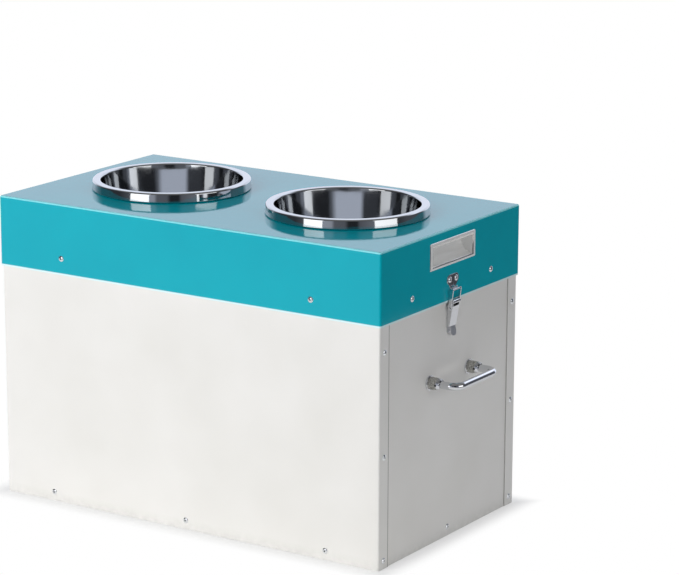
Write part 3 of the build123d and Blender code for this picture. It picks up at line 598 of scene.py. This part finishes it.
def bentBail(end, side):
    low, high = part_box(f"{end}_handle_bail")
    rod = handle["rod"] * mm
    bend = handle["bend"] * mm
    half = (high.y - low.y) / 2 - rod
    inner = (low.x if side > 0 else -high.x) + rod
    outer = (high.x if side > 0 else -low.x) - rod
    height = (low.z + high.z) / 2
    bm = bmesh.new()
    ring = bmesh.ops.create_circle(bm, cap_ends=False, radius=rod, segments=handle["sides"])["verts"]
    bmesh.ops.rotate(bm, verts=ring, cent=(0, 0, 0), matrix=Matrix.Rotation(pi / 2, 3, "Y"))
    bmesh.ops.translate(bm, verts=ring, vec=(inner, -half, height))
    firstRing = bm.edges[:]

    def pullStraight(edges, move):
        verts, faces, rim = extrudeOpen(bm, edges)
        bmesh.ops.translate(bm, verts=verts, vec=move)
        return rim

    def bendRound(edges, centre):
        made = bmesh.ops.spin(bm, geom=edges, cent=centre, axis=(0, 0, 1), angle=pi / 2,
                              steps=handle["bendSteps"], use_merge=False, use_duplicate=False)["geom_last"]
        return [g for g in made if isinstance(g, bmesh.types.BMEdge)]

    def roundEnd(edges, centre, outward):
        for step in range(1, handle["capSteps"] + 1):
            angle = pi / 2 * step / handle["capSteps"]
            before = pi / 2 * (step - 1) / handle["capSteps"]
            verts, faces, edges = extrudeOpen(bm, edges)
            ratio = max(cos(angle), handle["capTip"]) / cos(before)
            ringCentre = centre + outward * rod * sin(before)
            bmesh.ops.scale(bm, verts=verts, vec=(ratio,) * 3, space=Matrix.Translation(-ringCentre))
            bmesh.ops.translate(bm, verts=verts, vec=outward * rod * (sin(angle) - sin(before)))

    armEnd = pullStraight(firstRing, (outer - bend - inner, 0, 0))
    turned = bendRound(armEnd, (outer - bend, -half + bend, height))
    gripEnd = pullStraight(turned, (0, 2 * (half - bend), 0))
    turnedBack = bendRound(gripEnd, (outer - bend, half - bend, height))
    lastRing = pullStraight(turnedBack, (inner - outer + bend, 0, 0))
    roundEnd(firstRing, Vector((inner, -half, height)), Vector((-1, 0, 0)))
    roundEnd(lastRing, Vector((inner, half, height)), Vector((-1, 0, 0)))
    bmesh.ops.remove_doubles(bm, verts=bm.verts, dist=handle["capMerge"] * mm)
    if side < 0:
        bmesh.ops.rotate(bm, verts=bm.verts, cent=(0, 0, 0), matrix=Matrix.Rotation(pi, 3, "Z"))
    startPiece(f"{end}_handle_bail_bent", bm, [plated], f"{end}_handle", [f"{end}_handle_bail"])


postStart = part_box("right_handle_front_ferrule")[0].x


def onBarrel(face):  # the long round part of a post, between its flange and its nose
    out = abs(face.calc_center_median().x) - postStart
    return handle["barrelStart"] * mm < out < handle["barrelStop"] * mm


for end, side in ends.items():
    bentBail(end, side)
    for post in ("front", "rear"):
        finishNode(f"{end}_handle_{post}_ferrule", plated, handle["edge"], barrelChrome, onBarrel)
    finishNode(f"{end}_handle_pivot_pins", blackSteel, handle["fixingEdge"])
    finishNode(f"{end}_handle_screws", zincSteel, handle["fixingEdge"])
    finishNode(f"{end}_handle_washers", zincSteel, handle["fixingEdge"])
print("handles finished")


# The crown is the frame's section from its edge inwards: how far in, and how high. A face is polished where the
# share of its normal that points out of the lid is under "rolled" on the outer side, or "lip" on the inner side.
pull = {"crown": [(0.0, 0.02), (0.15, 0.38), (0.55, 0.72), (1.1, 1.0), (1.7, 1.14), (2.2, 1.19)], "border": 2.5,
        "rolled": 0.82, "lip": 0.985, "sharp": 50, "nutEdge": 0.2}


def crownFrame(bm, loop, side, inward):  # raises a rounded edge from a loop in the frame's back plane
    made = []
    step, height = pull["crown"][0]
    for nextStep, nextHeight in pull["crown"][1:]:
        corners = {v for e in loop for v in e.verts}
        low = Vector([min(v.co[i] for v in corners) for i in range(3)])
        high = Vector([max(v.co[i] for v in corners) for i in range(3)])
        shift = 2 * (nextStep - step) * mm * inward
        width, tall = high.y - low.y, high.z - low.z
        verts, faces, loop = extrudeOpen(bm, loop)
        made += faces
        bmesh.ops.scale(bm, verts=verts, vec=(1, (width - shift) / width, (tall - shift) / tall),
                        space=Matrix.Translation(-(low + high) / 2))
        bmesh.ops.translate(bm, verts=verts, vec=(side * (nextHeight - height) * mm, 0, 0))
        step, height = nextStep, nextHeight
    return loop, made


def pressedPull(end, side):
    node = f"{end}_flush_pull"
    low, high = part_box(node)
    lidFace = lidHigh.x if side > 0 else lidLow.x
    bm = cadCopy(node)
    cut = bmesh.ops.bisect_plane(bm, geom=bm.verts[:] + bm.edges[:] + bm.faces[:], dist=mergeReach,
                                 plane_co=(lidFace + side * pull["crown"][0][1] * mm, 0, 0), plane_no=(side, 0, 0),
                                 clear_outer=True)["geom_cut"]
    edges = [g for g in cut if isinstance(g, bmesh.types.BMEdge)]
    border = pull["border"] * mm

    def onRim(vert):
        return (min(vert.co.y - low.y, high.y - vert.co.y) < border
                or min(vert.co.z - low.z, high.z - vert.co.z) < border)

    outer = [e for e in edges if all(onRim(v) for v in e.verts)]
    inner = [e for e in edges if e not in outer]
    outerLoop, outerFaces = crownFrame(bm, outer, side, 1)
    innerLoop, innerFaces = crownFrame(bm, inner, side, -1)
    bmesh.ops.bridge_loops(bm, edges=outerLoop + innerLoop)
    bm.normal_update()
    for faces, limit in ((outerFaces, pull["rolled"]), (innerFaces, pull["lip"])):
        for face in faces:
            face.material_index = 1 if abs(face.normal.x) < limit else 0
    startPiece(f"{node}_pressed", bm, [satin, rolledNickel], bodyOf[node], [node], sharp=pull["sharp"])


for end, side in ends.items():
    pressedPull(end, side)
    finishNode(f"{end}_pull_nuts", zincSteel, pull["nutEdge"])
print("pulls finished")


studio = {"paperLow": (-1.7, -1.15), "paperHigh": (0.95, 0.98), "paperDrop": -0.3, "paperColour": "#F8F8F7",
          "shadowShare": 0.45, "shadowReach": 0.035, "mirrored": 0.36, "tint": "#E9EFFF", "ceiling": 0.22,
          "screenFoot": (0.41, 0.50), "ceilingFoot": (0.58, 0.72), "groundTop": (-0.20, -0.14),
          "aim": (0, 0, 0.25)}
# Bearing in degrees from the front of the object towards its right end, and how bright the studio is there: on the
# ground beyond the paper, at eye level, and above it, where the white screen behind the object is wider
ground = [(-180, 1.0), (-90, 0.70), (-10, 0.72), (30, 0.10), (110, 0.05), (160, 0.08), (172, 1.0)]
eyeLevel = [(-180, 1.26), (-112, 1.26), (-96, 0.30), (-84, 0.05), (-44, 0.05), (-28, 0.12), (2, 0.50), (11, 0.46),
            (15, 0.17), (29, 0.16), (34, 0.03), (46, 0.03), (50, 0.15), (68, 0.24), (106, 0.05), (122, 0.11),
            (160, 0.12), (173, 1.26)]
aboveHead = [(-180, 1.55), (-112, 1.55), (-96, 0.35), (-84, 0.08), (-44, 0.06), (8, 0.06), (22, 0.04), (58, 0.04),
             (106, 0.05), (138, 0.12), (152, 1.55)]


def studioFloor():  # a sheet of white paper, whose shadow fades into the white surround close to the object
    bm = bmesh.new()
    bmesh.ops.create_grid(bm, x_segments=1, y_segments=1, size=0.5)
    low, high = Vector(studio["paperLow"]), Vector(studio["paperHigh"])
    bmesh.ops.scale(bm, verts=bm.verts, vec=(high.x - low.x, high.y - low.y, 1))
    bmesh.ops.translate(bm, verts=bm.verts,
                        vec=((low.x + high.x) / 2, (low.y + high.y) / 2, studio["paperDrop"] * mm))
    floor = linkMesh("studioFloor", bm)
    material, tree, place = startMaterial("seamlessPaper")
    spot = addNode(tree, "SeparateXYZ", {"Vector": place})
    apart = pastRectangle(tree, spot, (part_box("front_panel")[1].x, -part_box("front_panel")[0].y))
    share = addNode(tree, "MapRange", {"Value": apart, "From Min": 0.0, "From Max": studio["shadowReach"],
                                       "To Min": studio["shadowShare"], "To Max": 1.0},
                    interpolation_type="SMOOTHSTEP").outputs["Result"]
    paper = addNode(tree, "BsdfDiffuse", {"Color": linear(studio["paperColour"])})
    glow = addNode(tree, "Emission", {"Color": (1, 1, 1, 1), "Strength": 1.0})
    path = addNode(tree, "LightPath")
    mirrored = addNode(tree, "Math", {0: path.outputs["Is Glossy Ray"], 1: path.outputs["Is Transmission Ray"]},
                       operation="MAXIMUM").outputs[0]
    dimmed = addNode(tree, "Math", {0: mirrored, 1: studio["mirrored"]}, operation="MULTIPLY").outputs[0]
    watched = addNode(tree, "Math", {0: path.outputs["Is Camera Ray"], 1: dimmed}, operation="MAXIMUM").outputs[0]
    seen = addNode(tree, "Math", {0: watched, 1: share}, operation="MULTIPLY")
    mixed = addNode(tree, "MixShader", {"Fac": seen.outputs[0], 1: paper.outputs[0], 2: glow.outputs[0]})
    addNode(tree, "OutputMaterial", {"Surface": mixed.outputs[0]})
    floor.data.materials.append(material)


def surround(tree, share, levels):  # the studio's brightness by bearing
    ramp = addNode(tree, "ValToRGB", {"Fac": share})
    stops = ramp.color_ramp.elements
    while len(stops) < len(levels):
        stops.new(0.5)
    tint = linear(studio["tint"])
    for stop, (degrees, level) in zip(stops, levels):
        stop.position = (degrees + 180) / 360
        stop.color = [c * level for c in tint[:3]] + [1.0]
    return ramp.outputs["Color"]


def studioWorld():  # a white screen behind, dark where the camera and the crew stand, and a grey ceiling
    world = bpy.data.worlds.new("studioWorld")
    scene.world = world
    world.use_nodes = True
    tree = world.node_tree
    tree.nodes.clear()
    toward = addNode(tree, "SeparateXYZ", {"Vector": addNode(tree, "TexCoord").outputs["Generated"]})
    ahead = addNode(tree, "Math", {0: toward.outputs["Y"], 1: -1.0}, operation="MULTIPLY").outputs[0]
    bearing = addNode(tree, "Math", {0: toward.outputs["X"], 1: ahead}, operation="ARCTAN2").outputs[0]
    share = addNode(tree, "MapRange", {"Value": bearing, "From Min": -pi, "From Max": pi}).outputs["Result"]
    light = surround(tree, share, ground)
    for (start, stop), over in ((studio["groundTop"], surround(tree, share, eyeLevel)),
                                (studio["screenFoot"], surround(tree, share, aboveHead)),
                                (studio["ceilingFoot"], [studio["ceiling"]] * 3 + [1.0])):
        height = addNode(tree, "MapRange", {"Value": toward.outputs["Z"], "From Min": start, "From Max": stop})
        light = addNode(tree, "Mix", {"Factor": height.outputs["Result"], "A": light, "B": over},
                        data_type="RGBA").outputs[2]
    seen = addNode(tree, "Mix", {"Factor": addNode(tree, "LightPath").outputs["Is Camera Ray"],
                                 "A": light, "B": (1, 1, 1, 1)}, data_type="RGBA").outputs[2]
    background = addNode(tree, "Background", {"Color": seen, "Strength": 1.0})
    addNode(tree, "OutputWorld", {"Surface": background.outputs[0]})


# The two softboxes show in polished metal and in the lid, so they stay dim enough not to bleach it from behind. The
# spreads and scrims give the rest of the light and don't show.
lamps = {
    "keySoftbox": {"bearing": -12.5, "rise": 12.0, "distance": 3.0, "width": 1.5, "height": 1.66, "power": 14.0},
    "keySpread": {"bearing": -12.5, "rise": 12.0, "distance": 3.0, "width": 1.5, "height": 1.66, "power": 25.0},
    "keyScrim": {"bearing": -14.0, "rise": 24.0, "distance": 3.4, "width": 3.0, "height": 2.6, "power": 44.0},
    "endSoftbox": {"bearing": 87.0, "rise": 11.5, "distance": 3.2, "width": 1.9, "height": 1.7, "power": 15.5},
    "endSpread": {"bearing": 87.0, "rise": 11.5, "distance": 3.2, "width": 1.9, "height": 1.7, "power": 5.6},
    "endScrim": {"bearing": 80.0, "rise": 14.0, "distance": 3.4, "width": 3.0, "height": 2.2, "power": 5.0},
}


def studioLamp(name, lamp):
    turn, rise = radians(lamp["bearing"]), radians(lamp["rise"])
    away = Vector((sin(turn) * cos(rise), -cos(turn) * cos(rise), sin(rise)))
    data = bpy.data.lights.new(name, "AREA")
    data.shape = "RECTANGLE"
    data.size, data.size_y = lamp["width"], lamp["height"]
    data.energy = lamp["power"]
    light = bpy.data.objects.new(name, data)
    scene.collection.objects.link(light)
    light.location = Vector(studio["aim"]) + away * lamp["distance"]
    light.rotation_mode = "QUATERNION"
    light.rotation_quaternion = away.to_track_quat("Z", "Y")
    light.visible_camera = False
    light.visible_glossy = name.endswith("Softbox")


studioFloor()
studioWorld()
for name, lamp in lamps.items():
    studioLamp(name, lamp)
print("studio lit")


# The photograph's own viewpoint, worked out from the corners of the box and lid
view = {"place": (2.116, -3.038, 1.206), "yaw": 33.19, "pitch": 13.89, "roll": 0.18, "lens": 152.1, "sensor": 36.0}
cameraData = bpy.data.cameras.new("camera")
cameraData.lens = view["lens"]
cameraData.sensor_width = view["sensor"]
camera = bpy.data.objects.new("camera", cameraData)
scene.collection.objects.link(camera)
camera.matrix_world = (Matrix.Translation(view["place"]) @ Matrix.Rotation(radians(view["yaw"]), 4, "Z")
                       @ Matrix.Rotation(radians(90 - view["pitch"]), 4, "X")
                       @ Matrix.Rotation(radians(view["roll"]), 4, "Z"))
scene.camera = camera
scene.view_settings.view_transform = "Standard"
